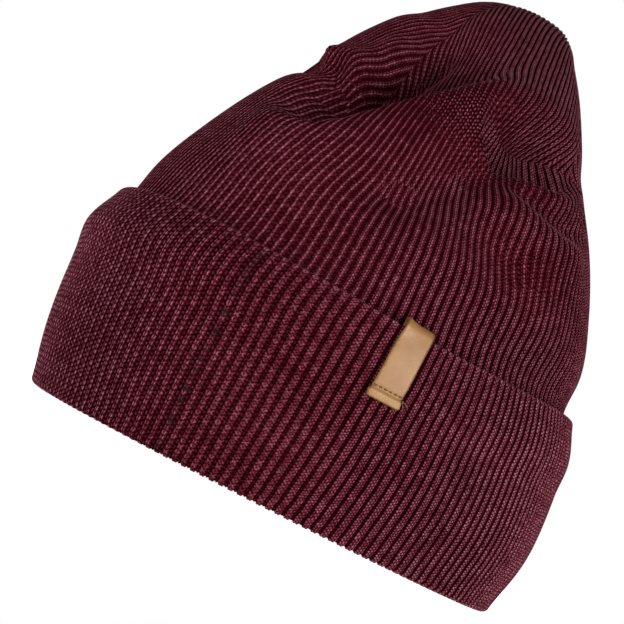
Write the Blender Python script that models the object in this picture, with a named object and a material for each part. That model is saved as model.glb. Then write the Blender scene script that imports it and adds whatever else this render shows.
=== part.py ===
"""Ribbed knit hat with a deep turned-up cuff and a small leather loop.

Metres, +Z up. The rim lies on z = 0, the front faces -Y and the wearer's left is +X.
Angles run round the hat from +X towards the back, +Y.
"""

import math

import bpy
import numpy as np

# Driving sizes
HAT_LENGTH = 0.192  # outside of the crown's wall at the rim, front to back
HAT_WIDTH = 0.178  # the same, side to side
HAT_HEIGHT = 0.224  # rim to top
KNIT_WALL = 0.0025  # one layer of the ribbed knit
CUFF_HEIGHT = 0.0765  # turned-up band, on average
CUFF_DIP = 0.004  # how much lower its top edge is at the sides, and higher in front and behind
RIM_ROUNDING = 0.0018  # radius of the fold's two corners at the rim
EDGE_ROUNDING = 0.0009  # radius of the corners along the cuff's top edge
FOLD_DEPTH = 0.012  # the deepest fold of the slouchy crown
TAB_WIDTH = 0.0106
TAB_FRONT = 0.0255  # length of the leather strip outside the cuff
TAB_BACK = 0.013  # and behind it
TAB_THICKNESS = 0.0012
TAB_ANGLE = 0.6  # degrees round the hat from the wearer's left, towards the back
TAB_LEAN = -1.7  # and how much further round its lower front end lies than its top
STRIP_SLACK = 0.0015  # room below the strip's lower end, between crown and cuff
CUFF_CLOSING = 0.014  # height over which the cuff then closes in on the crown
WRAP_ROUND = 0.03  # how far a fold runs on past the hat's outline, to the far side
CLEARANCE = 0.0003  # between pieces that touch

# How fine the meshes are
AROUND = 64
CROWN_ROWS = 31
BAND_ROWS = 9
CORNER_STEPS = 3
BEND_STEPS = 6
BACK_LEG_ROWS = 3
FRONT_LEG_ROWS = 6
PATH_SAMPLES = 400
FOLD_SAMPLES = 40
SMALL_TURN = 0.001  # radians either side of a point, to find which way the wall runs there

# The crown's outer wall, from the rim to the top. path is the share of the way along the cloth.
# height is a share of HAT_HEIGHT, length and width are shares of HAT_LENGTH and HAT_WIDTH,
# and back is how far the section's middle lies behind the origin, as a share of HAT_LENGTH.
SECTIONS = np.array(
    [
        (0.00, 0.000, 0.990, 1.000, 0.008),
        (0.08, 0.093, 1.042, 1.025, 0.009),
        (0.16, 0.187, 1.055, 1.038, 0.002),
        (0.24, 0.285, 1.041, 1.034, -0.008),
        (0.30, 0.350, 0.984, 1.000, -0.007),
        (0.36, 0.422, 0.968, 0.964, 0.003),
        (0.45, 0.522, 0.884, 0.905, 0.008),
        (0.54, 0.620, 0.770, 0.826, 0.010),
        (0.62, 0.707, 0.640, 0.732, 0.011),
        (0.71, 0.795, 0.530, 0.618, 0.019),
        (0.79, 0.868, 0.420, 0.507, 0.032),
        (0.86, 0.926, 0.314, 0.390, 0.047),
        (0.92, 0.968, 0.228, 0.266, 0.068),
        (0.97, 0.993, 0.122, 0.132, 0.094),
        (1.00, 1.000, 0.000, 0.000, 0.108),
    ],
    dtype=[(name, float) for name in ("path", "height", "length", "width", "back")],
)
SQUARENESS = 2.15  # 2 is an ellipse, and more is squarer

# The folds, laid out as they look square on from FACING degrees. side is 1 for the side that faces
# that way and -1 for the far side. Each is a ridge through four places, given as shares of
# HAT_LENGTH behind the origin and of HAT_HEIGHT above the rim, with a valley to the left of its run.
# lift and sink are shares of FOLD_DEPTH, for the ridge and the valley. right, flank and left are
# shares of HAT_HEIGHT: how far the ridge reaches to the right, the flank between ridge and valley,
# and how far the valley reaches to the left. The last two rows are the far side's.
FACING = -15.0
FOLDS = np.array(
    [
        (1, -0.336, 0.571, -0.200, 0.545, -0.054, 0.661, 0.164, 0.862, 0.45, 0.80, 0.110, 0.026, 0.100),
        (1, -0.070, 0.866, -0.122, 0.781, -0.185, 0.696, -0.304, 0.643, 0.30, 0.50, 0.090, 0.017, 0.030),
        (1, 0.058, 0.640, 0.138, 0.652, 0.208, 0.655, 0.308, 0.675, 0.25, 0.60, 0.025, 0.020, 0.050),
        (1, 0.138, 0.618, 0.218, 0.592, 0.298, 0.585, 0.378, 0.600, 0.20, 0.35, 0.060, 0.020, 0.020),
        (-1, -0.322, 0.560, -0.122, 0.600, 0.078, 0.680, 0.248, 0.800, 0.30, 0.55, 0.100, 0.036, 0.090),
        (-1, 0.068, 0.550, 0.158, 0.550, 0.248, 0.565, 0.338, 0.600, 0.20, 0.35, 0.060, 0.032, 0.060),
    ],
    dtype=[
        (name, float)
        for name in (
            "side",
            "back_0",
            "up_0",
            "back_1",
            "up_1",
            "back_2",
            "up_2",
            "back_3",
            "up_3",
            "lift",
            "sink",
            "right",
            "flank",
            "left",
        )
    ],
)
FOLD_FADE = 0.22  # share of a fold's length over which it rises at its start, and dies at its end
VALLEY_STEP = 1.4  # how far above its ridge the valley's bottom lies, in widths of the flank

WINE = (0.105, 0.016, 0.036, 1.0)
TAN = (0.560, 0.330, 0.150, 1.0)


def clear_scene():
    for old in list(bpy.data.objects):
        bpy.data.objects.remove(old, do_unlink=True)


def through(x, xs, ys):
    """A smooth curve through points: a cubic between each two, with slopes from their neighbours."""
    slope = np.gradient(ys, xs)
    k = np.clip(np.searchsorted(xs, x, side="right") - 1, 0, len(xs) - 2)
    step = xs[k + 1] - xs[k]
    t = (x - xs[k]) / step
    start = (1 + 2 * t) * (1 - t) ** 2 * ys[k] + t * (1 - t) ** 2 * step * slope[k]
    end = t * t * (3 - 2 * t) * ys[k + 1] + t * t * (t - 1) * step * slope[k + 1]
    return start + end


def ease(x):
    """0 below 0, 1 above 1, and a smooth rise between."""
    x = np.clip(x, 0.0, 1.0)
    return x * x * (3 - 2 * x)


def column(path, name):
    return through(path, SECTIONS["path"], SECTIONS[name])


def rim_seat():
    """The height of the crown's lower edge, which stands on the fold of the rim."""
    return KNIT_WALL + CLEARANCE


def height_at(path):
    return rim_seat() + column(path, "height") * (HAT_HEIGHT - rim_seat())


def path_at(height):
    """The share of the way along the cloth at a height."""
    path = np.linspace(0.0, 1.0, PATH_SAMPLES)
    return np.interp(height, height_at(path), path)


def plain_crown(angle, path):
    """The crown's outer wall without folds: a squared ellipse at each height."""
    along, across = np.sin(angle), np.cos(angle)
    reach = (np.abs(along) ** SQUARENESS + np.abs(across) ** SQUARENESS) ** (-1 / SQUARENESS)
    x = across * reach * column(path, "width") * HAT_WIDTH / 2
    y = along * reach * column(path, "length") * HAT_LENGTH / 2 + column(path, "back") * HAT_LENGTH
    return np.stack([x, y, height_at(path) + 0 * angle], axis=-1)


def facing_places(points):
    """How far back, up and towards the viewer each point lies, seen square on from FACING."""
    turn = math.radians(FACING)
    back = points[..., 1] * math.cos(turn) - points[..., 0] * math.sin(turn)
    towards = points[..., 0] * math.cos(turn) + points[..., 1] * math.sin(turn)
    return back, points[..., 2], towards


def fold_line(fold):
    """Points along a fold: a smooth curve through its four places."""
    t = np.linspace(0.0, 1.0, FOLD_SAMPLES)
    stations = np.linspace(0.0, 1.0, 4)
    back = through(t, stations, np.array([fold[f"back_{i}"] for i in range(4)])) * HAT_LENGTH
    up = through(t, stations, np.array([fold[f"up_{i}"] for i in range(4)])) * HAT_HEIGHT
    return back, up, t


def fold_profile(left, fold):
    """Depth across a fold: a rounded ridge on its line, and a rounded valley to the left of it."""
    flank = fold["flank"] * HAT_HEIGHT
    ridge_reach = np.where(left < 0, fold["right"] * HAT_HEIGHT, flank)
    past = left - VALLEY_STEP * flank
    valley_reach = np.where(past < 0, flank, fold["left"] * HAT_HEIGHT)
    ridge = fold["lift"] * np.exp(-((left / ridge_reach) ** 2))
    valley = fold["sink"] * np.exp(-((past / valley_reach) ** 2))
    return (ridge - valley) * FOLD_DEPTH


def fold_depth(points):
    """How far every fold together moves each point of the wall out (or in, where negative)."""
    back, up, towards = facing_places(points)
    total = np.zeros(back.shape)
    for fold in FOLDS:
        line_back, line_up, t = fold_line(fold)
        aside = back[..., None] - line_back
        over = up[..., None] - line_up
        nearest = np.argmin(aside**2 + over**2, axis=-1)
        aside = np.take_along_axis(aside, nearest[..., None], -1)[..., 0]
        over = np.take_along_axis(over, nearest[..., None], -1)[..., 0]
        run_back = np.gradient(line_back)[nearest]
        run_up = np.gradient(line_up)[nearest]
        left = np.sign(run_back * over - run_up * aside) * np.hypot(aside, over)
        ends = ease(t[nearest] / FOLD_FADE) * ease((1 - t[nearest]) / FOLD_FADE)
        side = ease((towards * fold["side"] + WRAP_ROUND) / (2 * WRAP_ROUND))
        total += fold_profile(left, fold) * ends * side
    return total


def outward(points):
    """Unit normals of a grid whose rows run round the hat and go up, row by row."""
    round_way = np.roll(points, -1, axis=1) - np.roll(points, 1, axis=1)
    up_way = np.gradient(points, axis=0)
    normal = np.cross(round_way, up_way)
    return normal / np.maximum(np.linalg.norm(normal, axis=-1, keepdims=True), 1e-12)


def crown_grid():
    """The crown's outer wall with its folds, as rows from the rim to just under the top."""
    angle = np.linspace(0.0, 2 * math.pi, AROUND, endpoint=False)
    path = np.linspace(0.0, 1.0, CROWN_ROWS + 1)[:-1]
    angle, path = np.meshgrid(angle, path)
    plain = plain_crown(angle, path)
    return plain + outward(plain) * fold_depth(plain)[..., None]


def wall_at(angle, height, out):
    """A point at a height, and out from the crown's outer wall as far as asked, level with it."""
    path = path_at(height)
    here = plain_crown(angle, path)
    ahead = plain_crown(angle + SMALL_TURN, path)
    behind = plain_crown(angle - SMALL_TURN, path)
    run = ahead - behind
    normal = np.stack([run[..., 1], -run[..., 0], 0 * angle], axis=-1)
    normal /= np.linalg.norm(normal, axis=-1, keepdims=True)
    point = here + normal * np.asarray(out)[..., None]
    point[..., 2] = height
    return point


def cuff_top(angle):
    return CUFF_HEIGHT - CUFF_DIP * np.cos(2 * angle)


def cuff_gap(height, top):
    """Room between crown and cuff: a clearance low down, and room for the leather strip near the top."""
    strip_room = TAB_THICKNESS + 2 * CLEARANCE
    low = top - TAB_BACK - STRIP_SLACK - CUFF_CLOSING
    return CLEARANCE + (strip_room - CLEARANCE) * ease((height - low) / CUFF_CLOSING)


def corner(middle_out, middle_up, radius, first, last):
    """Points on a rounded corner, from one direction to another, in degrees."""
    turn = np.radians(np.linspace(first, last, CORNER_STEPS))
    return [(middle_out + radius * math.cos(a), middle_up + radius * math.sin(a)) for a in turn]


def cuff_profile(top):
    """The cuff's section as (out, up) points, clockwise: a foot under the crown and a tall outer band."""
    inner = -KNIT_WALL
    outer = CLEARANCE + KNIT_WALL
    r = RIM_ROUNDING
    e = EDGE_ROUNDING
    lip_in = cuff_gap(top, top)
    lip_out = lip_in + KNIT_WALL
    outline = corner(inner + r, r, r, 180, 270)
    outline += corner(outer - r, r, r, 270, 360)
    outline += [(cuff_gap(z, top) + KNIT_WALL, z) for z in np.linspace(r, top - e, BAND_ROWS)[1:-1]]
    outline += corner(lip_out - e, top - e, e, 0, 90)
    outline += corner(lip_in + e, top - e, e, 90, 180)
    outline += [(cuff_gap(z, top), z) for z in np.linspace(top - e, KNIT_WALL, BAND_ROWS)[1:]]
    outline += [(inner, KNIT_WALL)]
    return np.array(outline[::-1])


def tab_path(top):
    """The leather strip's middle line as (out, up) points: up behind the cuff, over its edge, down."""
    half = TAB_THICKNESS / 2
    behind = CLEARANCE + half
    before = cuff_gap(top, top) + KNIT_WALL + CLEARANCE + half
    middle, radius = (behind + before) / 2, (before - behind) / 2
    turn = np.linspace(math.pi, 0.0, BEND_STEPS)
    back_leg = [(behind, z) for z in np.linspace(top - TAB_BACK, top, BACK_LEG_ROWS)[:-1]]
    bend = [(middle + radius * math.cos(a), top + radius * math.sin(a)) for a in turn]
    front = np.linspace(top, top - TAB_FRONT, FRONT_LEG_ROWS)[1:]
    front_leg = [(cuff_gap(z, top) + KNIT_WALL + CLEARANCE + half, z) for z in front]
    return np.array(back_leg + bend + front_leg)


def add_mesh(name, points, faces, material):
    mesh = bpy.data.meshes.new(name)
    mesh.from_pydata(points.tolist(), [], faces)
    mesh.materials.append(material)
    mesh.shade_smooth()
    obj = bpy.data.objects.new(name, mesh)
    bpy.context.scene.collection.objects.link(obj)
    return obj


def grid_faces(rows, columns, wrap_rows=False):
    """Quads between the rows of a grid whose rows are closed rings."""
    faces = []
    for i in range(rows if wrap_rows else rows - 1):
        for j in range(columns):
            nearer, further = i * columns, (i + 1) % rows * columns
            after = (j + 1) % columns
            faces.append((nearer + j, nearer + after, further + after, further + j))
    return faces


def add_crown(material):
    """A sheet from the rim to the closed top, given its wall on the inside."""
    grid = crown_grid()
    top = plain_crown(np.zeros(1), np.ones(1))
    points = np.concatenate([grid.reshape(-1, 3), top])
    faces = grid_faces(CROWN_ROWS, AROUND)
    last = (CROWN_ROWS - 1) * AROUND
    faces += [(last + j, last + (j + 1) % AROUND, len(points) - 1) for j in range(AROUND)]
    crown = add_mesh("crown", points, faces, material)
    wall = crown.modifiers.new("knit wall", "SOLIDIFY")
    wall.thickness = KNIT_WALL
    wall.offset = -1.0
    wall.use_rim = True
    return crown


def add_cuff(material):
    """The section carried round the crown, following its oval at every height."""
    rings = []
    for angle in np.linspace(0.0, 2 * math.pi, AROUND, endpoint=False):
        profile = cuff_profile(cuff_top(angle))
        rings.append(wall_at(np.full(len(profile), angle), profile[:, 1], profile[:, 0]))
    rings = np.array(rings)
    faces = grid_faces(len(rings), rings.shape[1], wrap_rows=True)
    return add_mesh("cuff", rings.reshape(-1, 3), faces, material)


def add_leather_tab(material):
    """A flat strip carried over the cuff's top edge, bent to the cuff's curve across its width."""
    middle = math.radians(TAB_ANGLE)
    top = float(cuff_top(middle))
    path = tab_path(top)
    run = np.gradient(path, axis=0)
    run /= np.linalg.norm(run, axis=1, keepdims=True)
    right_of_path = np.stack([run[:, 1], -run[:, 0]], axis=1) * TAB_THICKNESS / 2
    half_length = column(path_at(top), "length") * HAT_LENGTH / 2
    spread = np.array([-0.5, 0.0, 0.5]) * TAB_WIDTH / half_length
    step = np.hypot(*np.diff(path, axis=0).T)
    way = np.concatenate([[0.0], np.cumsum(step)])
    past_edge = way - way[np.argmax(path[:, 1])]
    turned = middle + math.radians(TAB_LEAN) * past_edge / TAB_FRONT
    rings = []
    for place, lift, turn in zip(path, right_of_path, turned):
        ring = [(a, place + lift) for a in spread] + [(a, place - lift) for a in spread[::-1]]
        angles = np.array([turn + a for a, _ in ring])
        places = np.array([p for _, p in ring])
        rings.append(wall_at(angles, places[:, 1], places[:, 0]))
    rings = np.array(rings)
    faces = grid_faces(len(rings), rings.shape[1])
    size = rings.shape[1]
    faces.append(tuple(range(size))[::-1])
    faces.append(tuple(range((len(rings) - 1) * size, len(rings) * size)))
    return add_mesh("leather_tab", rings.reshape(-1, 3), faces, material)


def finish_material(name, color, roughness):
    material = bpy.data.materials.new(name)
    material.use_nodes = True
    shader = material.node_tree.nodes["Principled BSDF"]
    shader.inputs["Base Color"].default_value = color
    shader.inputs["Roughness"].default_value = roughness
    shader.inputs["Metallic"].default_value = 0.0
    return material


def main():
    clear_scene()
    add_crown(finish_material("wine wool knit", WINE, 0.9))
    add_cuff(finish_material("wine wool cuff", WINE, 0.9))
    add_leather_tab(finish_material("tan leather", TAN, 0.55))


main()
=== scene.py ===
"""A ribbed knit hat at rest on its rim: wool crown, turned-up cuff and a bare leather loop.

Metres, as in the frame: +Z up, the rim on z = 0, the front faces -Y, the wearer's left is +X.
Angles run round the hat from +X towards the back, +Y.
"""

import math
from functools import partial

import bpy
import numpy as np
from mathutils import Matrix, Vector


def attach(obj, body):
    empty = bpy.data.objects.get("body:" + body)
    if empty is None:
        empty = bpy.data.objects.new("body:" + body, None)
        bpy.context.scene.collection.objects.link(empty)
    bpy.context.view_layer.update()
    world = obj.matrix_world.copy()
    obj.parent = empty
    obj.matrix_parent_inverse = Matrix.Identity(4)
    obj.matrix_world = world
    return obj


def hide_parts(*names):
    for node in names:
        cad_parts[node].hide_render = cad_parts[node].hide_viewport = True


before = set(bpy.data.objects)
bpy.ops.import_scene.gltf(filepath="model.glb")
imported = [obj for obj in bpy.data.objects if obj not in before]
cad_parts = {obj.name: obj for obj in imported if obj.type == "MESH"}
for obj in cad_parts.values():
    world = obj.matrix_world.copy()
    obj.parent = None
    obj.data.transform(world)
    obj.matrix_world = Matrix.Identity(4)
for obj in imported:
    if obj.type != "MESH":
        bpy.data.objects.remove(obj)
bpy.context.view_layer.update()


def table(names, rows):
    """Rows of numbers with a name for each column."""
    return np.array(rows, dtype=[(name, float) for name in names.split()])


# Sizes that the CAD solids have too
HAT_LENGTH = 0.192
HAT_WIDTH = 0.178
HAT_HEIGHT = 0.224
KNIT_WALL = 0.0025
CUFF_HEIGHT = 0.0765
CUFF_DIP = 0.004
TAB_WIDTH = 0.0106
TAB_FRONT = 0.0255
TAB_BACK = 0.013
TAB_THICKNESS = 0.0012
TAB_ANGLE = 0.6
TAB_LEAN = -1.7
STRIP_SLACK = 0.0015
CUFF_CLOSING = 0.014
WRAP_ROUND = 0.03
CLEARANCE = 0.0003
RIM_SEAT = KNIT_WALL + CLEARANCE  # height of the crown's lower edge, on the cuff's fold
SQUARENESS = 2.15
SMALL_TURN = 0.001  # radians to either side, to find how the wall runs

# The crown's outer wall from the rim to the top: shares of the way along the cloth, of HAT_HEIGHT,
# HAT_LENGTH and HAT_WIDTH, and how far back the section's middle lies, as a share of HAT_LENGTH.
SECTIONS = table(
    "path height length width back",
    [
        (0.00, 0.000, 0.990, 1.000, 0.008),
        (0.08, 0.093, 1.042, 1.025, 0.009),
        (0.16, 0.187, 1.055, 1.038, 0.002),
        (0.24, 0.285, 1.041, 1.034, -0.008),
        (0.30, 0.350, 0.984, 1.000, -0.007),
        (0.36, 0.422, 0.968, 0.964, 0.003),
        (0.45, 0.522, 0.884, 0.905, 0.008),
        (0.54, 0.620, 0.770, 0.826, 0.010),
        (0.62, 0.707, 0.640, 0.732, 0.011),
        (0.71, 0.795, 0.530, 0.618, 0.019),
        (0.79, 0.868, 0.420, 0.507, 0.032),
        (0.86, 0.926, 0.314, 0.390, 0.047),
        (0.92, 0.968, 0.228, 0.266, 0.068),
        (0.97, 0.993, 0.122, 0.132, 0.094),
        (1.00, 1.000, 0.000, 0.000, 0.108),
    ],
)

FACING = -15.0
FOLD_FADE = 0.22  # share of its length over which a fold rises at its start, and dies at its end
VALLEY_STEP = 1.4  # how far from its ridge the valley's bottom lies, in widths of the flank
FOLD_DEPTH = 0.012
# The folds as they look square on from FACING degrees: ridges through four places, each with a
# valley to the left of its run. side is 1 for the side that faces that way and -1 for the far one.
# back is a share of HAT_LENGTH, lift and sink are shares of FOLD_DEPTH, and up and the reaches
# right, flank and left are shares of HAT_HEIGHT.
FOLDS = table(
    "side back_0 up_0 back_1 up_1 back_2 up_2 back_3 up_3 lift sink right flank left",
    [
        (1, -0.336, 0.571, -0.200, 0.545, -0.054, 0.661, 0.164, 0.862, 0.45, 0.80, 0.110, 0.026, 0.100),
        (1, -0.070, 0.866, -0.122, 0.781, -0.185, 0.696, -0.304, 0.643, 0.30, 0.50, 0.090, 0.017, 0.030),
        (1, 0.058, 0.640, 0.138, 0.652, 0.208, 0.655, 0.308, 0.675, 0.25, 0.60, 0.025, 0.020, 0.050),
        (1, 0.138, 0.618, 0.218, 0.592, 0.298, 0.585, 0.378, 0.600, 0.20, 0.35, 0.060, 0.020, 0.020),
        (-1, -0.322, 0.560, -0.122, 0.600, 0.078, 0.680, 0.248, 0.800, 0.30, 0.55, 0.100, 0.036, 0.090),
        (-1, 0.068, 0.550, 0.158, 0.550, 0.248, 0.565, 0.338, 0.600, 0.20, 0.35, 0.060, 0.032, 0.060),
        # from here on folds that are too fine for the CAD solid's facets: a nick in the outline above
        # the first fold, two creases that meet under the third, a dent below them, and a crest and a
        # hollow on either side of the dart at the top
        (1, -0.422, 0.730, -0.352, 0.695, -0.282, 0.657, -0.212, 0.635, 0.00, 0.42, 0.020, 0.028, 0.024),
        (1, 0.060, 0.680, 0.150, 0.720, 0.215, 0.728, 0.310, 0.695, -1.30, 0.00, 0.055, 0.030, 0.020),
        (1, -0.100, 0.460, 0.040, 0.550, 0.115, 0.622, 0.200, 0.715, -0.65, 0.00, 0.050, 0.030, 0.020),
        (1, 0.100, 0.530, 0.160, 0.515, 0.215, 0.505, 0.270, 0.500, -0.25, 0.00, 0.040, 0.040, 0.020),
        (1, -0.279, 0.727, -0.227, 0.711, -0.178, 0.730, -0.110, 0.815, 0.35, 0.00, 0.020, 0.020, 0.020),
        (1, -0.190, 0.680, -0.127, 0.755, -0.086, 0.811, 0.010, 0.880, -0.50, 0.00, 0.035, 0.035, 0.020),
    ],
)

# The knitting
RIBS = 192  # ribs round the hat, about 3 mm apart over the brow
RIB_SPREAD = 0.08  # how much wider than their mean the ribs are on the side drawn widest
SPREAD_AT = -30.0  # and at how many degrees round the hat that is
COURSE = 0.0018  # height of one row of stitches
CROWN_PER_RIB = 5  # columns of the crown's mesh for each rib
CUFF_PER_RIB = 6
RIB_DEPTH = 0.0010  # from a rib's crest to the groove beside it
DRAWN_DEPTH = 0.55  # share of it left where the ribs are drawn apart
CUFF_RELIEF = 0.0008  # the same on the cuff, which shows the cloth's other side
DART_FROM = 0.565  # share of the way up the cloth at which the crown starts to be narrowed
DART_START = 0.02  # share of the cloth below that over which a dart's line comes up
DART_GROOVE = 0.0012  # depth of the line along which two panels of ribs meet
DART_REACH = 0.0022  # half width of that line
CLOTH_RUN = 0.262  # length of the cloth from the rim to the top
CREST_BREADTH = 0.6  # power of the sine across closed ribs: the less, the broader their crests
OPEN_BREADTH = 0.8  # and how much more it is where they are drawn apart
TOP_FADE = 0.02  # share of the cloth below the top over which ribs and darts run out
INSIDE_RELIEF = 0.5  # the ribs' depth on the inside, as a share of the outside's

# The crown is knitted as four panels. Each runs between two darts, start and end, and its ribs keep
# their distance from the line up the panel's middle. All are degrees round the hat.
PANELS = table(
    "start end middle",
    [(-55.0, 45.0, -2.0), (45.0, 135.0, 90.0), (135.0, 225.0, 170.0), (225.0, 305.0, 252.0)],
)

# Where the cloth hangs askew: degrees by which ribs have moved round. The first column is their
# angle, and the others are the shares ASKEW_PATHS of the way up the cloth. They draw together over
# the wearer's left ear and run across above its fold.
ASKEW_PATHS = (0.30, 0.38, 0.46, 0.54, 0.60, 0.68, 1.00)
ASKEW = np.array(
    [
        (-120.0, 0.0, 0.0, 0.0, 0.0, 0.0, 0.0, 0.0),
        (-90.0, 0.0, 3.0, 4.0, 4.0, 6.0, 8.0, 8.0),
        (-75.0, 0.0, 3.5, 5.0, 5.0, 12.0, 16.0, 16.0),
        (-60.0, 0.0, 3.0, 6.0, 7.0, 13.0, 15.0, 15.0),
        (-50.0, 0.0, 2.5, 6.0, 8.0, 8.0, 8.0, 8.0),
        (-30.0, 0.0, 0.0, 3.0, 3.5, 4.0, 5.0, 5.0),
        (-15.0, 0.0, -1.0, -1.0, -1.5, 0.0, 1.0, 1.0),
        (0.0, 0.0, -1.7, -3.5, -4.0, -2.0, 0.0, 0.0),
        (15.0, 0.0, -1.5, -5.0, -6.0, -3.0, 0.0, 0.0),
        (30.0, 0.0, 1.0, -0.5, 0.0, 1.0, 2.0, 2.0),
        (45.0, 0.0, 2.0, 4.0, 4.0, 4.0, 4.0, 4.0),
        (70.0, 0.0, 0.0, 2.0, 2.0, 2.0, 2.0, 2.0),
        (100.0, 0.0, 0.0, 0.0, 0.0, 0.0, 0.0, 0.0),
    ]
)
ASKEW_BLUR = 30  # rounds of smoothing between the table's values,
ASKEW_STEP = 4  # and how many columns of the grid each round reaches

# The same on the cuff, at its top edge; at the rim it is nothing.
CUFF_ASKEW = table(
    "angle top",
    [(-120.0, 0.0), (-75.0, 2.0), (-45.0, 3.5), (-5.0, 5.5), (30.0, -1.0), (50.0, -3.0), (90.0, 0.0)],
)

# Grids: the smooth wall that the ribs are taken from, and the rows of the crown's mesh
DENSE_ANGLES = 720
DENSE_PATHS = 320
PATH_SAMPLES = 400
FOLD_SAMPLES = 40
FOLD_BLUR = 8  # rounds of smoothing over the folds' crests,
FOLD_GAIN = 1.15  # and how much deeper the folds are to begin with, which makes up for it
OUTER_ROWS = 94
ROWS_UP_TO = (0.34, 0.74)  # shares of these rows below the folds and below their end,
ROWS_AT = (0.50, 0.74)  # and how far up the cloth those are
HIDDEN_ROWS = 3
INNER_ROWS = 18
HIDDEN_BELOW = 0.235  # share of the way up the cloth that the cuff covers


def through(x, xs, ys):
    """A smooth curve through points: a cubic between each two, with slopes from their neighbours."""
    slope = np.gradient(ys, xs)
    k = np.clip(np.searchsorted(xs, x, side="right") - 1, 0, len(xs) - 2)
    step = xs[k + 1] - xs[k]
    t = (x - xs[k]) / step
    start = (1 + 2 * t) * (1 - t) ** 2 * ys[k] + t * (1 - t) ** 2 * step * slope[k]
    end = t * t * (3 - 2 * t) * ys[k + 1] + t * t * (t - 1) * step * slope[k + 1]
    return start + end


def ease(x):
    """0 below 0, 1 above 1, and 3x^2 - 2x^3 between."""
    x = np.clip(x, 0.0, 1.0)
    return x * x * (3 - 2 * x)


def column(path, name):
    return through(path, SECTIONS["path"], SECTIONS[name])


def height_at(path):
    return RIM_SEAT + column(path, "height") * (HAT_HEIGHT - RIM_SEAT)


def path_at(height):
    path = np.linspace(0.0, 1.0, PATH_SAMPLES)
    return np.interp(height, height_at(path), path)


def plain_crown(angle, path):
    """A squared ellipse at each height: reach is (|sin|^n + |cos|^n)^(-1/n) times half of each size."""
    along, across = np.sin(angle), np.cos(angle)
    reach = (np.abs(along) ** SQUARENESS + np.abs(across) ** SQUARENESS) ** (-1 / SQUARENESS)
    x = across * reach * column(path, "width") * HAT_WIDTH / 2
    y = along * reach * column(path, "length") * HAT_LENGTH / 2 + column(path, "back") * HAT_LENGTH
    return np.stack([x, y, height_at(path) + 0 * angle], axis=-1)


def fold_line(fold):
    t = np.linspace(0.0, 1.0, FOLD_SAMPLES)
    stations = np.linspace(0.0, 1.0, 4)
    back = through(t, stations, np.array([fold[f"back_{i}"] for i in range(4)])) * HAT_LENGTH
    up = through(t, stations, np.array([fold[f"up_{i}"] for i in range(4)])) * HAT_HEIGHT
    return back, up, t


def fold_profile(left, fold):
    """Across a fold: lift * e^-(left/reach)^2 on its line, less sink * the same over the valley."""
    flank = fold["flank"] * HAT_HEIGHT
    ridge_reach = np.where(left < 0, fold["right"] * HAT_HEIGHT, flank)
    past = left - VALLEY_STEP * flank
    valley_reach = np.where(past < 0, flank, fold["left"] * HAT_HEIGHT)
    ridge = fold["lift"] * np.exp(-((left / ridge_reach) ** 2))
    valley = fold["sink"] * np.exp(-((past / valley_reach) ** 2))
    return (ridge - valley) * FOLD_DEPTH


def fold_depth(points):
    """Sum over the folds of their profiles at each point's distance from the line, seen square on."""
    turn = math.radians(FACING)
    back = points[..., 1] * math.cos(turn) - points[..., 0] * math.sin(turn)
    towards = points[..., 0] * math.cos(turn) + points[..., 1] * math.sin(turn)
    up = points[..., 2]
    total = np.zeros(back.shape)
    for fold in FOLDS:
        line_back, line_up, t = fold_line(fold)
        aside = back[..., None] - line_back
        over = up[..., None] - line_up
        nearest = np.argmin(aside**2 + over**2, axis=-1)
        aside = np.take_along_axis(aside, nearest[..., None], -1)[..., 0]
        over = np.take_along_axis(over, nearest[..., None], -1)[..., 0]
        run_back = np.gradient(line_back)[nearest]
        run_up = np.gradient(line_up)[nearest]
        left = np.sign(run_back * over - run_up * aside) * np.hypot(aside, over)
        ends = ease(t[nearest] / FOLD_FADE) * ease((1 - t[nearest]) / FOLD_FADE)
        side = ease((towards * fold["side"] + WRAP_ROUND) / (2 * WRAP_ROUND))
        total += fold_profile(left, fold) * ends * side
    return total


def unit(vectors):
    return vectors / np.maximum(np.linalg.norm(vectors, axis=-1, keepdims=True), 1e-12)


def outward(points):
    """Cross product of the way round and the way up a closed grid, and at its top their mean below."""
    round_way = np.roll(points, -1, axis=1) - np.roll(points, 1, axis=1)
    normal = unit(np.cross(round_way, np.gradient(points, axis=0)))
    normal[-1] = unit(normal[-2].mean(axis=0))
    return normal


def dense_wall():
    """The crown's outer wall and its normals on an even grid of angles and paths, folds included."""
    angle = np.linspace(0.0, 2 * math.pi, DENSE_ANGLES, endpoint=False)
    path = np.linspace(0.0, 1.0, DENSE_PATHS)
    angle, path = np.meshgrid(angle, path)
    plain = plain_crown(angle, path)
    depth = fold_depth(plain)
    for _ in range(FOLD_BLUR):
        depth = (np.roll(depth, 1, axis=1) + 2 * depth + np.roll(depth, -1, axis=1)) / 4
        depth[1:-1] = (depth[:-2] + 2 * depth[1:-1] + depth[2:]) / 4
    wall = plain + outward(plain) * (depth * FOLD_GAIN)[..., None]
    return wall, outward(wall)


def look_up(grid, angle, path):
    """Straight-line blend of the four entries of a grid round each angle and path."""
    across = np.mod(angle / (2 * math.pi), 1.0) * DENSE_ANGLES
    up = np.clip(path, 0.0, 1.0) * (DENSE_PATHS - 1)
    j = np.floor(across).astype(int) % DENSE_ANGLES
    i = np.minimum(np.floor(up).astype(int), DENSE_PATHS - 2)
    s = (across - np.floor(across))[..., None]
    t = (up - i)[..., None]
    after = (j + 1) % DENSE_ANGLES
    low = grid[i, j] * (1 - s) + grid[i, after] * s
    high = grid[i + 1, j] * (1 - s) + grid[i + 1, after] * s
    return low * (1 - t) + high * t


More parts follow.
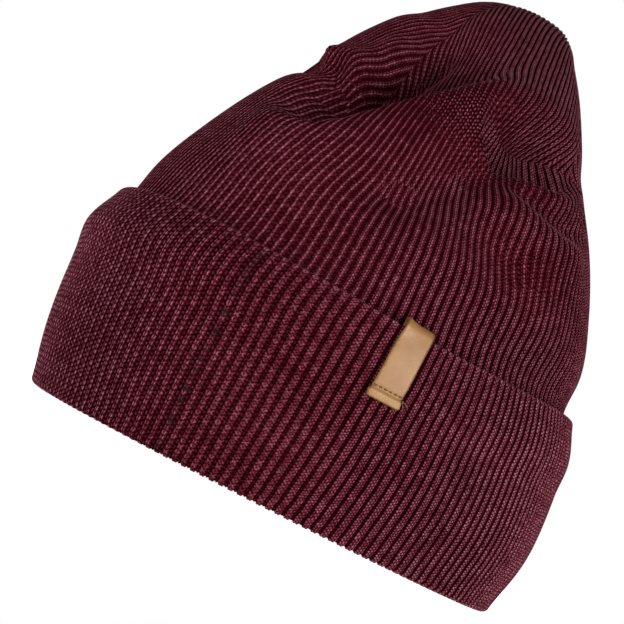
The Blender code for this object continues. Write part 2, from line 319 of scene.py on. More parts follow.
def askew_grid():
    """The table ASKEW on the dense wall's grid: straight lines between its values, then smoothed."""
    angle = np.linspace(0.0, 360.0, DENSE_ANGLES, endpoint=False)
    path = np.linspace(0.0, 1.0, DENSE_PATHS)
    angles, *moved = ASKEW.T
    round_way = np.transpose([np.interp(angle, angles, values, period=360.0) for values in moved])
    grid = np.stack([np.interp(path, ASKEW_PATHS, values) for values in round_way], axis=1)
    for _ in range(ASKEW_BLUR):
        beside = np.roll(grid, ASKEW_STEP, axis=1) + np.roll(grid, -ASKEW_STEP, axis=1)
        grid = (beside + 2 * grid) / 4
        grid[1:-1] = (grid[:-2] + 2 * grid[1:-1] + grid[2:]) / 4
    return grid


def girth(path):
    """Mean radius of the crown at each path."""
    return (column(path, "length") * HAT_LENGTH + column(path, "width") * HAT_WIDTH) / 4


def rib_places(per_rib):
    """Along a row: ribs counted from the first dart, and the angle of each place at the rim."""
    turn = np.linspace(0.0, RIBS, RIBS * per_rib + 1)
    start = math.radians(PANELS["start"][0])
    even = start + turn / RIBS * 2 * math.pi
    widest = math.radians(SPREAD_AT)
    return turn, even + RIB_SPREAD * (np.sin(even - widest) - math.sin(start - widest))


def rib_way(base, path, askew):
    """Where the rib that starts at each base angle lies at each path, and the distance to its dart.

    Below the darts a rib keeps its angle, but for what it hangs askew. Above, its angle from the
    panel's middle grows as the crown's radius shrinks, so that its distance from the middle stays,
    until it runs into a dart.
    """
    def moved(degrees):
        return degrees + look_up(askew[..., None], np.radians(degrees), path)[..., 0]

    degrees = np.degrees(base)
    panel = np.clip(np.searchsorted(PANELS["start"], degrees, side="right") - 1, 0, len(PANELS) - 1)
    middle, start, end = (PANELS[name][panel] for name in ("middle", "start", "end"))
    spread = girth(np.full(1, DART_FROM)) / np.maximum(girth(np.maximum(path, DART_FROM)), 1e-4)
    angle = np.clip(middle + (degrees - middle) * spread, start, end)
    low, high = moved(start), moved(end)
    angle = np.clip(moved(angle), low, high)
    reach = np.radians(np.minimum(angle - low, high - angle)) * girth(path)
    return np.radians(angle), reach


# Depth across one rib of the cuff, groove to groove, as shares of CUFF_RELIEF: two legs of each
# stitch with a line between them, and in the groove the purl bump that shows where the ribs are
# open. The first column is how open they are, and the others are the places across.
TURNED_RIB = np.array(
    [
        (0.0, 1.00, 0.50, 0.00, 0.35, 0.00, 0.50),
        (0.5, 0.45, 1.00, 0.00, 0.25, 0.00, 1.00),
        (1.0, 0.30, 1.00, 0.45, 0.00, 0.45, 1.00),
    ]
)


def turned_relief(turn, is_open):
    """The table above, blended by how open the ribs are; each column of the mesh has one place."""
    place = np.round((turn - np.floor(turn)) * CUFF_PER_RIB).astype(int) % CUFF_PER_RIB
    openness, *depths = TURNED_RIB.T
    depth = np.stack([np.interp(is_open, openness, values) for values in depths])
    return np.take_along_axis(depth, place[None], 0)[0]


def rib_relief(turn, broad):
    """0 on a rib's crest and 1 in its groove: 1 - |sin(pi * turn)|^broad, turn counted in ribs."""
    return 1 - np.abs(np.sin(math.pi * turn)) ** broad


# How far the ribs are drawn apart at angles round the hat: 0 is closed up and 1 is stretched.
OPENNESS = table(
    "angle open",
    [(-180.0, 0.5), (-110.0, 0.8), (-60.0, 0.95), (-30.0, 0.6), (0.0, 0.2), (35.0, 0.05), (90.0, 0.3)],
)
CLOSED_AT_TOP = 0.5  # share of that by which the crown's ribs close up again towards its top,
CLOSING_FROM = 0.50  # and the shares of the way up the cloth at which this begins
CLOSING_OVER = 0.12  # and over which it takes place


def opened(angle):
    """Straight lines between the table's values, once round the hat."""
    return np.interp(np.degrees(angle), OPENNESS["angle"], OPENNESS["open"], period=360.0)


def crown_opened(angle, path):
    """The same for the crown, whose ribs close up towards its top, where its girth shrinks."""
    return opened(angle) * (1 - CLOSED_AT_TOP * ease((path - CLOSING_FROM) / CLOSING_OVER))


BEADED_LOSS = 0.5  # share of the ribs' depth that is lost where beads stand out in full
# Places of the crown where the ribs are stretched flat and single stitches show as beads: the
# middle and the half width of each, in degrees round the hat and as shares of the way up the cloth,
# and how much the beads stand out there.
BEADED = table(
    "angle path angle_reach path_reach amount",
    [(-4.0, 0.590, 30.0, 0.070, 0.85), (20.0, 0.420, 20.0, 0.050, 0.45)],
)


def beaded(angle, path):
    """Sum over the places of amount * e^-(distance in half widths)^2, at most 1."""
    total = 0 * path
    for place in BEADED:
        aside = (np.degrees(angle) - place["angle"]) / place["angle_reach"]
        over = (path - place["path"]) / place["path_reach"]
        total = total + place["amount"] * np.exp(-(aside**2) - over**2)
    return np.minimum(total, 1.0)


def crown_shape(wall, normal):
    """Points, knitting coordinates and finish values of the crown's closed shell.

    Rows climb the outside from the rim to the top and come down the inside. The outside is the
    dense wall less the ribs' relief and the darts' grooves; the inside is one wall further in.
    """
    turn, base = rib_places(CROWN_PER_RIB)
    hidden = np.linspace(0.0, HIDDEN_BELOW, HIDDEN_ROWS, endpoint=False)
    shown = np.linspace(0.0, 1.0, OUTER_ROWS)
    shown = np.interp(shown, (0.0, *ROWS_UP_TO, 1.0), (HIDDEN_BELOW, *ROWS_AT, 1.0))
    inside = np.linspace(1.0, 0.0, INNER_ROWS)
    path = np.concatenate([hidden, shown, inside])
    within = np.arange(len(path))[:, None] >= HIDDEN_ROWS + OUTER_ROWS
    base, path = np.meshgrid(base, path)
    turn = turn + 0 * base
    angle, reach = rib_way(base, path, askew_grid())
    is_open = crown_opened(angle, path)
    broad = CREST_BREADTH + OPEN_BREADTH * is_open
    narrowed = ease(1 + (path - DART_FROM) / DART_START)
    free = 1 - narrowed * (1 - ease(reach / DART_REACH))
    top_fade = ease((1 - path) / TOP_FADE)
    beads = beaded(angle, path) * ~within
    depth = RIB_DEPTH * (1 - (1 - DRAWN_DEPTH) * is_open) * (1 - BEADED_LOSS * beads)
    ribs = rib_relief(turn, broad) * depth * free * top_fade
    dart = DART_GROOVE * narrowed * (1 - ease(reach / DART_REACH)) * top_fade
    out = np.where(within, -KNIT_WALL + INSIDE_RELIEF * ribs, -ribs - dart)
    points = look_up(wall, angle, path) + unit(look_up(normal, angle, path)) * out[..., None]
    points[:, -1] = points[:, 0]
    knitting = np.stack([turn, path * CLOTH_RUN / COURSE], axis=-1)
    return points, knitting, {"open": is_open, "hem": 0 * path, "beads": beads}


# The turned-up cuff: rows of its mesh along each stretch of its section
FOLD_STEPS = 12
FRONT_STEPS = 42
LIP_STEPS = 8
BEHIND_STEPS = 10
SEAT_STEPS = 2
LIP_FADE = 0.004  # distance from the top edge over which the ribs flatten into the edge,
LIP_FLATTENING = 0.65  # and the share of their relief that is lost there
HEM = 0.002  # height of the lighter row of stitches along the top edge


def wall_at(angle, height, out):
    """A point at a height, and out from the plain crown's wall as far as asked, level with it."""
    path = path_at(height)
    here = plain_crown(angle, path)
    run = plain_crown(angle + SMALL_TURN, path) - plain_crown(angle - SMALL_TURN, path)
    level = unit(np.stack([run[..., 1], -run[..., 0], 0 * angle], axis=-1))
    point = here + level * np.asarray(out)[..., None]
    point[..., 2] = height
    return point


def cuff_top(angle):
    return CUFF_HEIGHT - CUFF_DIP * np.cos(2 * angle)


def cuff_gap(height, top):
    strip_room = TAB_THICKNESS + 2 * CLEARANCE
    low = top - TAB_BACK - STRIP_SLACK - CUFF_CLOSING
    return CLEARANCE + (strip_room - CLEARANCE) * ease((height - low) / CUFF_CLOSING)


def cuff_section(top):
    """The cuff's closed section, as out and up for each row and column.

    It starts inside the rim, runs round the fold as half an oval, up the front, over the top edge
    as half a circle, down behind and back along the crown's lower edge.
    """
    def sweep(count, last=False):
        return np.linspace(0.0, 1.0, count, endpoint=last)[:, None]

    inner, outer = -KNIT_WALL, CLEARANCE + KNIT_WALL
    half = (outer - inner) / 2
    turn = math.pi * (1 + sweep(FOLD_STEPS))
    fold_out = (inner + outer) / 2 + half * np.cos(turn) + 0 * top
    fold_up = half * (1 + np.sin(turn)) + 0 * top
    lip = KNIT_WALL / 2
    up = half + (top - lip - half) * sweep(FRONT_STEPS)
    front_out = cuff_gap(up, top) + KNIT_WALL
    turn = math.pi * sweep(LIP_STEPS)
    lip_out = cuff_gap(top, top) + lip + lip * np.cos(turn)
    lip_up = top - lip + lip * np.sin(turn)
    behind_up = top - lip + (KNIT_WALL - top + lip) * sweep(BEHIND_STEPS)
    behind_out = cuff_gap(behind_up, top)
    seat_out = CLEARANCE + (inner - CLEARANCE) * sweep(SEAT_STEPS, last=True) + 0 * top
    seat_up = KNIT_WALL + 0 * seat_out
    out = np.concatenate([fold_out, front_out, lip_out, behind_out, seat_out])
    up = np.concatenate([fold_up, up, lip_up, behind_up, seat_up])
    return out, up


def cuff_shape():
    """Points, knitting coordinates and finish values of the cuff's closed shell.

    Each point of the section moves in along the section's normal by the ribs' relief.
    """
    turn, base = rib_places(CUFF_PER_RIB)
    top = cuff_top(base)[None, :]
    out, up = cuff_section(top)
    run_out = np.gradient(out, axis=0)
    run_up = np.gradient(up, axis=0)
    length = np.maximum(np.hypot(run_out, run_up), 1e-9)
    shown = FOLD_STEPS + FRONT_STEPS + LIP_STEPS
    row = np.arange(len(out))[:, None]
    edge = 1 - LIP_FLATTENING * (1 - ease((top - up) / LIP_FADE)) * (row > FOLD_STEPS)
    askew = np.interp(np.degrees(base), CUFF_ASKEW["angle"], CUFF_ASKEW["top"], period=360.0)
    climbed = np.clip(up / top, 0.0, 1.0) * (row > FOLD_STEPS) * (row <= shown)
    angle = base[None, :] + np.radians(askew) * climbed
    turn = turn[None, :] + 0 * out
    relief = turned_relief(turn, opened(angle)) * CUFF_RELIEF * (row < shown) * edge
    out = out - run_up / length * relief
    up = up + run_out / length * relief
    points = wall_at(angle, up, out)
    points[:, -1] = points[:, 0]
    travelled = np.cumsum(np.hypot(np.diff(out, axis=0), np.diff(up, axis=0)), axis=0).mean(axis=1)
    travelled = np.concatenate([[0.0], travelled])[:, None] + 0 * out
    knitting = np.stack([turn, travelled / COURSE], axis=-1)
    hem = 1 - ease((top - up) / HEM)
    return points, knitting, {"open": opened(angle), "hem": hem, "beads": 0 * hem}


# Meshes
SAME_POINT = 1e-6  # points closer than this are one


def new_object(name, data):
    """An object of the scene."""
    thing = bpy.data.objects.new(name, data)
    bpy.context.scene.collection.objects.link(thing)
    return thing


def finish_mesh(mesh, values):
    """The mesh as an object, with the values at its points under their names."""
    for key, value in values.items():
        layer = mesh.attributes.new(key, "FLOAT", "POINT")
        layer.data.foreach_set("value", np.asarray(value, np.float32))
    mesh.update(calc_edges=True)
    mesh.validate()
    mesh.shade_smooth()
    return new_object(mesh.name, mesh)


def add_sheet(name, points, knitting, values):
    """A mesh from a grid: quads between rows and columns, points that coincide joined into one.

    The last row joins the first. Where two corners of a quad have become one it turns into a
    triangle, and where it has no area left it goes.
    """
    rows, columns = points.shape[:2]
    flat = points.reshape(-1, 3)
    places = np.round(flat / SAME_POINT).astype(np.int64)
    _, first, same = np.unique(places, axis=0, return_index=True, return_inverse=True)
    same = same.reshape(-1)
    i, j = np.meshgrid(np.arange(rows), np.arange(columns - 1), indexing="ij")
    lower, upper = i * columns + j, (i + 1) % rows * columns + j
    corners = np.stack([lower, lower + 1, upper + 1, upper], -1).reshape(-1, 4)
    joined = same[corners]
    doubled = joined == np.roll(joined, -1, axis=1)
    crossed = (joined[:, 0] == joined[:, 2]) | (joined[:, 1] == joined[:, 3])
    quads = corners[(doubled.sum(1) == 0) & ~crossed]
    folded = (doubled.sum(1) == 1) & ~crossed
    triangles = corners[folded][~doubled[folded]].reshape(-1, 3)
    loops = np.concatenate([quads.ravel(), triangles.ravel()])
    sizes = np.repeat((4, 3), (len(quads), len(triangles)))
    starts = np.cumsum(sizes) - sizes
    mesh = bpy.data.meshes.new(name)
    mesh.vertices.add(len(first))
    mesh.vertices.foreach_set("co", flat[first].astype(np.float32).ravel())
    mesh.loops.add(len(loops))
    mesh.loops.foreach_set("vertex_index", same[loops].astype(np.int32))
    mesh.polygons.add(len(starts))
    mesh.polygons.foreach_set("loop_start", starts.astype(np.int32))
    at_loops = knitting.reshape(-1, 2)[loops].astype(np.float32)
    mesh.uv_layers.new(name="knitting").data.foreach_set("uv", at_loops.ravel())
    return finish_mesh(mesh, {key: value.reshape(-1)[first] for key, value in values.items()})


def add_mesh(name, verts, faces, values):
    mesh = bpy.data.meshes.new(name)
    mesh.from_pydata(verts.tolist(), [], faces)
    return finish_mesh(mesh, values)


# The leather loop
TAB_ROWS = 96
TAB_ACROSS = 14
LINE_STEPS = (60, 24, 12)  # points of its middle line up the front, over the edge and down behind
SHOULDERS = (0.35, 0.5)  # powers of cosine and sine round its section: the less, the squarer
END_BAND = 0.0030  # turned-under end of the strip, below its line of stitches
END_RISE = 0.0007  # how far it stands proud,
END_STEP = 0.0007  # over what length it rises to that,
END_ROUND = 0.0008  # and over what length it is rounded off at the bottom
END_WIDER = 0.09  # how much wider it is, as a share of the width,
END_WAVE = 0.012  # and by what share of the width its edges wander,
END_WAVES = 2100.0  # by so many radians a metre
STITCH_LINE = 0.0010  # how far above the turned-under end the stitches lie,
STITCH_DIP = 0.0004  # how deep they pull the face in,
STITCH_REACH = 0.0006  # and how far to either side
CURL = 0.0017  # how far the loop's front corner stands off the cuff's edge,
CURL_AT = 0.0010  # how far past the strip's front that is,
CURL_REACH = 0.0030  # and how far it reaches from there
CUT_POWER = 8  # the higher, the closer to its sides its cut edge shows
CUT_END = 0.0006  # length over which it shows at the bottom
STITCHES = 6
STITCH_SPAN = (-0.46, 0.36)  # where the first and the last start, as shares of its width
STITCH_LENGTH = 0.0012
STITCH_ARCH = 0.0004
STITCH_WANDER = 0.00025  # how far they stray from their line,
STITCH_WAVES = 40.0  # by so many radians a width
THREAD = 0.0005
THREAD_POINTS = 7
LOOSE_FROM = (0.47, 0.0006)  # where the loose ends start: across the strip, above its turned end
LOOSE_ARCH = 0.0005
# How far each loose end reaches: beside the strip as a share of its width, down, and off it.
LOOSE_ENDS = table("beside down off", [(0.16, 0.0026, 0.0006), (0.26, 0.0012, 0.0011)])


def strip_line():
    """The strip's middle line from its lower end: distance, out, up and the direction it faces.

    It runs up the front of the cuff, over the edge as half a circle and down behind.
    """
    top = float(cuff_top(math.radians(TAB_ANGLE)))
    half = TAB_THICKNESS / 2
    behind = CLEARANCE + half
    before = cuff_gap(top, top) + KNIT_WALL + CLEARANCE + half
    middle, radius = (behind + before) / 2, (before - behind) / 2
    turn = np.linspace(0.0, math.pi, LINE_STEPS[1])
    front_up = np.linspace(top - TAB_FRONT, top, LINE_STEPS[0])[:-1]
    front_out = cuff_gap(front_up, top) + KNIT_WALL + CLEARANCE + half
    back_up = np.linspace(top, top - TAB_BACK, LINE_STEPS[2])[1:]
    out = np.concatenate([front_out, middle + radius * np.cos(turn), 0 * back_up + behind])
    up = np.concatenate([front_up, top + radius * np.sin(turn), back_up])
    way = np.concatenate([[0.0], np.cumsum(np.hypot(np.diff(out), np.diff(up)))])
    run_out, run_up = np.gradient(out, way), np.gradient(up, way)
    return way, out, up, run_up, -run_out


def strip_point(way, across, lift):
    """A point on the strip: way along it, across it as a share of its width, lift out from its middle.

    The strip leans, so its angle round the hat changes evenly along it.
    """
    ways, out, up, face_out, face_up = strip_line()
    crest = ways[np.argmax(up)]
    out, up, face_out, face_up = (np.interp(way, ways, value) for value in (out, up, face_out, face_up))
    top = np.array([float(cuff_top(math.radians(TAB_ANGLE)))])
    half_length = float(column(path_at(top), "length")[0]) * HAT_LENGTH / 2
    lean = math.radians(TAB_LEAN) * (crest - way) / TAB_FRONT
    angle = math.radians(TAB_ANGLE) + lean + across * TAB_WIDTH / half_length
    return wall_at(angle + 0 * lift, up + face_up * lift, out + face_out * lift)


def strip_shape():
    """The strip's section, a flat oval with square shoulders, carried along its line.

    Below the stitches the turned-under end stands proud by a smooth step and is a little wider, the
    face dips where the stitches lie, and over the cuff's edge one corner stands off by CURL.
    """
    length = strip_line()[0][-1]
    way = np.linspace(0.0, length, TAB_ROWS)[:, None]
    turn = np.linspace(0.0, 2 * math.pi, 2 * TAB_ACROSS, endpoint=False)[None, :]
    across = np.sign(np.cos(turn)) * np.abs(np.cos(turn)) ** SHOULDERS[0] / 2
    thick = np.sign(np.sin(turn)) * np.abs(np.sin(turn)) ** SHOULDERS[1] / 2
    end = ease((END_BAND - way) / END_STEP + 0.5) * ease(way / END_ROUND + 0.3)
    dip = np.exp(-(((way - END_BAND - STITCH_LINE) / STITCH_REACH) ** 2))
    lift = thick * TAB_THICKNESS + (thick > 0) * (end * END_RISE - dip * STITCH_DIP)
    over_edge = np.exp(-(((way - TAB_FRONT - CURL_AT) / CURL_REACH) ** 2))
    lift = lift + CURL * over_edge * ease((-across - 0.1) / 0.4)
    wavy = END_WAVE * np.sin(way * END_WAVES) * end
    points = strip_point(way + 0 * turn, across * (1 + END_WIDER * end) + wavy, lift)
    cut = (np.abs(across) * 2) ** CUT_POWER
    cut = np.maximum(cut, ease(1.2 - way / CUT_END)) + 0 * lift
    return points, cut


def add_strip():
    """The strip's mesh: quads along it, and a fan of triangles to the middle of each end."""
    points, cut = strip_shape()
    rows, columns = points.shape[:2]
    verts = np.concatenate([points.reshape(-1, 3), points[[0, -1]].mean(axis=1)])
    i, j = np.meshgrid(np.arange(rows - 1), np.arange(columns), indexing="ij")
    after = (j + 1) % columns
    nearer, further = i * columns, (i + 1) * columns
    sides = np.stack([nearer + j, further + j, further + after, nearer + after], -1)
    j, after, last = j[0], after[0], (rows - 1) * columns
    lower = np.stack([j, after, 0 * j + rows * columns], -1)
    upper = np.stack([last + after, last + j, 0 * j + rows * columns + 1], -1)
    faces = sides.reshape(-1, 4).tolist() + lower.tolist() + upper.tolist()
    return add_mesh("leather_loop", verts, faces, {"cut_edge": np.append(cut.ravel(), [1.0, 1.0])})


SIDES = 6
OFF_LINE = (0.31, 0.22, 0.92)  # a direction that no thread takes
END_RING = 0.1  # size of a tube's end rings, as a share of its own


def tubes(lines, radius):
    """Closed round tubes along several lines of points: all their points and all their faces.

    Each ring lies square to its line. The first and last rings shrink, which rounds the ends.
    """
    count, steps = lines.shape[:2]
    run = unit(np.gradient(lines, axis=1))
    beside = unit(np.cross(run, np.array(OFF_LINE)))
    other = np.cross(run, beside)
    turn = np.linspace(0.0, 2 * math.pi, SIDES, endpoint=False)
    size = np.ones(steps)
    size[[0, -1]] = END_RING
    ring = beside[:, :, None] * np.cos(turn)[:, None] + other[:, :, None] * np.sin(turn)[:, None]
    points = lines[:, :, None] + ring * (radius * size)[None, :, None, None]
    k, i, j = np.meshgrid(np.arange(count), np.arange(steps - 1), np.arange(SIDES), indexing="ij")
    at = (k * steps + i) * SIDES
    after = (j + 1) % SIDES
    faces = np.stack([at + j, at + after, at + SIDES + after, at + SIDES + j], -1)
    j = np.arange(SIDES)
    first = np.arange(count)[:, None] * steps * SIDES
    ends = (first + j[::-1]).tolist() + (first + (steps - 1) * SIDES + j).tolist()
    return points.reshape(-1, 3), faces.reshape(-1, 4).tolist() + ends


def add_stitching():
    """A row of short arched stitches across the strip, and two loose ends of thread beside it."""
    first = np.linspace(*STITCH_SPAN, STITCHES)[:, None]
    t = np.linspace(0.0, 1.0, THREAD_POINTS)[None, :]
    across = first + t * STITCH_LENGTH / TAB_WIDTH
    way = END_BAND + STITCH_LINE + STITCH_WANDER * np.sin(first * STITCH_WAVES) + 0 * t
    lift = TAB_THICKNESS / 2 - STITCH_DIP + STITCH_ARCH * np.sin(math.pi * t) + 0 * across
    points, faces = tubes(strip_point(way, across, lift), THREAD / 2)
    beside, down, off = (LOOSE_ENDS[name][:, None] for name in ("beside", "down", "off"))
    across = LOOSE_FROM[0] + beside * t
    way = END_BAND + LOOSE_FROM[1] - down * t**1.5
    lift = TAB_THICKNESS / 2 + LOOSE_ARCH * np.sin(math.pi * t) + off * t
    loose, loose_faces = tubes(strip_point(way, across, lift), THREAD / 3)
    faces += [[corner + len(points) for corner in face] for face in loose_faces]
    return add_mesh("loop_stitching", np.concatenate([points, loose]), faces, {})


# Materials
def colour(code):
    """An sRGB hex value as a linear colour."""
    share = np.array([int(code[i : i + 2], 16) for i in (1, 3, 5)]) / 255
    linear = np.where(share <= 0.04045, share / 12.92, ((share + 0.055) / 1.055) ** 2.4)
    return (*linear.tolist(), 1.0)


def set_inputs(node, inputs):
    """Values or links for a node's inputs: in their order, or by name or number in a dictionary."""
    for key, value in inputs.items() if isinstance(inputs, dict) else enumerate(inputs):
        if isinstance(value, bpy.types.NodeSocket):
            node.id_data.links.new(value, node.inputs[key])
        else:
            node.inputs[key].default_value = value


def add_node(tree, kind, inputs=(), out=0, stops=(), **settings):
    """An output of a new node. stops are a ramp's positions, each with a hex colour or a grey."""
    node = tree.nodes.new(kind)
    for key, value in settings.items():
        setattr(node, key, value)
    set_inputs(node, inputs)
    if stops:
        elements = node.color_ramp.elements
        while len(elements) < len(stops):
            elements.new(0.5)
        for element, (position, value) in zip(elements, stops):
            element.position = position
            element.color = colour(value) if isinstance(value, str) else (value, value, value, 1.0)
    return node.outputs[out]


def new_material(name):
    """A material, the function that adds nodes to it, and its shader."""
    material = bpy.data.materials.new(name)
    material.use_nodes = True
    tree = material.node_tree
    return material, partial(add_node, tree), tree.nodes["Principled BSDF"]


CLOSED_COLUMNS = 4.0  # columns of beads that a closed rib and its groove show,
CLOSED_COURSES = 1.5  # and how much closer the beads along it follow each other
NO_STREAK = -9.0  # a rib that isn't there

# The cloth's two faces: see wool_rib_knit for what each value is.
OUTER_FACE = {
    "closed": ((0.0, 1.0), (0.24, 0.95), (0.32, 0.6), (0.39, 0.0)),
    "drawn": (
        (0.0, 0.65), (0.05, 0.9), (0.09, 0.95), (0.13, 0.62),
        (0.18, 0.2), (0.25, 0.1), (0.36, 0.26), (0.5, 0.26),
    ),
    "lean": -1.2,
    "leg_share": 0.5,
    "purl": (0.0, 0.4),
    "streak": NO_STREAK,
}
TURNED_FACE = {
    "closed": ((0.0, 1.0), (0.26, 1.0), (0.34, 0.7), (0.40, 0.0)),
    "drawn": (
        (0.0, 0.1), (0.04, 0.35), (0.10, 1.0), (0.15, 1.0),
        (0.22, 0.2), (0.29, 0.0), (0.5, 0.0),
    ),
    "lean": -0.9,
    "leg_share": 0.8,
    "purl": (0.0, 0.78),
    "streak": 9.0,
}


def arches(add, value):
    """|sin(pi * value)|: a rounded arch for each whole step of the value."""
    for operation, other in (("FRACT", 0.0), ("MULTIPLY", math.pi), ("SINE", 0.0)):
        value = add("ShaderNodeMath", (value, other), operation=operation)
    return value


def wool_rib_knit(name, closed, drawn, lean, leg_share, purl, streak):
    """Fine-gauge rib knitted from a heathered wool yarn: matt, with a soft halo of fibres.

    The crests of ribs that are drawn apart show the two slanting legs of each stitch, and closed
    ribs a fine lattice of beads. The groove between shows the purl bumps of the next wale. The
    colour follows the height: the grooves and the gaps between beads are darker by painted shade,
    as if little light reached them, and the crests are lighter by painted highlight. closed and
    drawn give the height across half a rib from its crest, closed up and drawn apart. lean is how
    steeply a stitch's legs run, and leg_share how strongly single legs stand out. purl is how
    strongly the bumps do, closed and drawn. Where the piece's value beads rises to 1, a coarse
    lattice takes the place of all of these. streak is the rib, counted round from the first dart,
    that was knitted with a darker end of yarn.
    """
    material, add, shader = new_material(name)
    uv = add("ShaderNodeUVMap", uv_map="knitting")
    wander = add("ShaderNodeTexNoise", {"Vector": uv, "Scale": 0.35, "Detail": 2.0})
    wander = add("ShaderNodeMath", (wander, 0.5), operation="SUBTRACT")
    across = add("ShaderNodeSeparateXYZ", (uv,), "X")
    along = across.node.outputs["Y"]
    along = add("ShaderNodeMath", (wander, 1.2, along), operation="MULTIPLY_ADD")
    place = add("ShaderNodeMath", (across,), operation="FRACT")
    place = add("ShaderNodeMath", (place, 0.5), operation="SUBTRACT")
    off_crest = add("ShaderNodeMath", (place,), operation="ABSOLUTE")
    is_open = add("ShaderNodeAttribute", out="Fac", attribute_name="open")
    # drawn apart, the legs of the stitches lean towards the rib's crest
    phase = add("ShaderNodeMath", (off_crest, lean, along), operation="MULTIPLY_ADD")
    leg = add("ShaderNodeMath", (arches(add, phase), leg_share, 1 - leg_share), operation="MULTIPLY_ADD")
    drawn_wale = add("ShaderNodeValToRGB", (off_crest,), stops=drawn)
    leg = add("ShaderNodeMath", (leg, drawn_wale), operation="MULTIPLY")
    # two lattices of beads, each column half a row on from the last: the fine one of closed ribs,
    # and the coarse one of the crest's and the groove's wales stretched flat
    lattices = []
    for columns, rows in ((CLOSED_COLUMNS, CLOSED_COURSES), (2.0, 1.0)):
        column_at = add("ShaderNodeMath", (across, columns, 0.5), operation="MULTIPLY_ADD")
        row_at = add("ShaderNodeMath", (along, rows), operation="MULTIPLY")
        count = add("ShaderNodeMath", (column_at,), operation="FLOOR")
        row_at = add("ShaderNodeMath", (count, 0.5, row_at), operation="MULTIPLY_ADD")
        lattice = (arches(add, column_at), arches(add, row_at))
        lattices.append(add("ShaderNodeMath", lattice, operation="MULTIPLY"))
    close_wale = add("ShaderNodeValToRGB", (off_crest,), stops=closed)
    fine = add("ShaderNodeMath", (lattices[0], 0.85, 0.1), operation="MULTIPLY_ADD")
    fine = add("ShaderNodeMath", (fine, close_wale), operation="MULTIPLY")
    leg = add("ShaderNodeMix", {0: is_open, 2: fine, 3: leg})
    # purl bumps in the groove, a little under half a row on
    bump_at = add("ShaderNodeMath", (along, 0.4), operation="ADD")
    groove = add("ShaderNodeValToRGB", (off_crest,), stops=((0.30, 0.0), (0.41, 0.6), (0.5, 1.0)))
    groove.node.color_ramp.interpolation = "B_SPLINE"
    shows = add("ShaderNodeMath", (is_open, purl[1] - purl[0], purl[0]), operation="MULTIPLY_ADD")
    bumps = add("ShaderNodeMath", (groove, shows), operation="MULTIPLY")
    height = add("ShaderNodeMath", (arches(add, bump_at), bumps, leg), operation="MULTIPLY_ADD")
    coarse = add("ShaderNodeMath", (lattices[1], 2.0), operation="POWER")
    coarse = add("ShaderNodeMath", (coarse, 0.9), operation="MULTIPLY")
    beads = add("ShaderNodeAttribute", out="Fac", attribute_name="beads")
    height = add("ShaderNodeMix", {0: beads, 2: height, 3: coarse})
    # each leg of a stitch shows its own mix of light and dark fibres
    which = add("ShaderNodeCombineXYZ", (across, phase))
    which = add("ShaderNodeVectorMath", (which, (2.0, 1.0, 1.0)), operation="MULTIPLY")
    which = add("ShaderNodeVectorMath", (which,), operation="FLOOR")
    fleck = add("ShaderNodeTexWhiteNoise", {"Vector": which})
    fleck = add("ShaderNodeMath", (fleck, 0.5, 0.85), operation="MULTIPLY_ADD")
    # the height sets the colour too: painted shade darkens the grooves and the gaps between beads, and
    # painted highlight lightens the crests
    shaded_tone = add("ShaderNodeMath", (fleck, height), operation="MULTIPLY")
    # fibres, broad patches of lighter cloth and the hem add to it, each by its own share
    fibre = add("ShaderNodeTexNoise", {"Vector": uv, "Scale": 6.0, "Detail": 4.0, "Roughness": 0.7})
    patch = add("ShaderNodeTexNoise", {"Vector": uv, "Scale": 0.05, "Detail": 3.0})
    hem = add("ShaderNodeAttribute", out="Fac", attribute_name="hem")
    for value, share in ((fibre, 1.3), (patch, 0.25), (hem, 0.2)):
        shaded_tone = add("ShaderNodeMath", (value, share, shaded_tone), operation="MULTIPLY_ADD")
    shaded_tone = add("ShaderNodeMath", (shaded_tone, 0.82), operation="SUBTRACT")
    # the yarn's colours by tone, from painted shade in the grooves to painted highlight on the crests
    shaded_yarn_ramp = ((0.0, "#120103"), (0.25, "#34080f"), (0.5, "#571f2b"), (0.75, "#743c49"), (1.0, "#92606d"))
    yarn = add("ShaderNodeValToRGB", (shaded_tone,), stops=shaded_yarn_ramp)
    # the darker end of yarn comes and goes along its rib
    off_streak = add("ShaderNodeMath", (across, streak + 0.5), operation="SUBTRACT")
    off_streak = add("ShaderNodeMath", (off_streak,), operation="ABSOLUTE")
    mask = add("ShaderNodeValToRGB", (off_streak,), stops=((0.3, 0.6), (0.5, 0.0)))
    comes = add("ShaderNodeTexNoise", {"W": along, "Scale": 0.5}, noise_dimensions="1D")
    comes = add("ShaderNodeValToRGB", (comes,), stops=((0.44, 0.1), (0.6, 1.0)))
    mask = add("ShaderNodeMath", (mask, comes), operation="MULTIPLY")
    yarn = add("ShaderNodeMix", {0: mask, 6: yarn, 7: colour("#120e0c")}, 2, data_type="RGBA")
    bump = add("ShaderNodeBump", {"Strength": 0.8, "Distance": 0.0005, "Height": height})
    sheen = {"Sheen Weight": 0.35, "Sheen Roughness": 0.2, "Sheen Tint": colour("#c07c88")}
    matt = {"Roughness": 0.95, "Specular IOR Level": 0.0}
    set_inputs(shader, {"Base Color": yarn, "Normal": bump, **matt, **sheen})
    return material


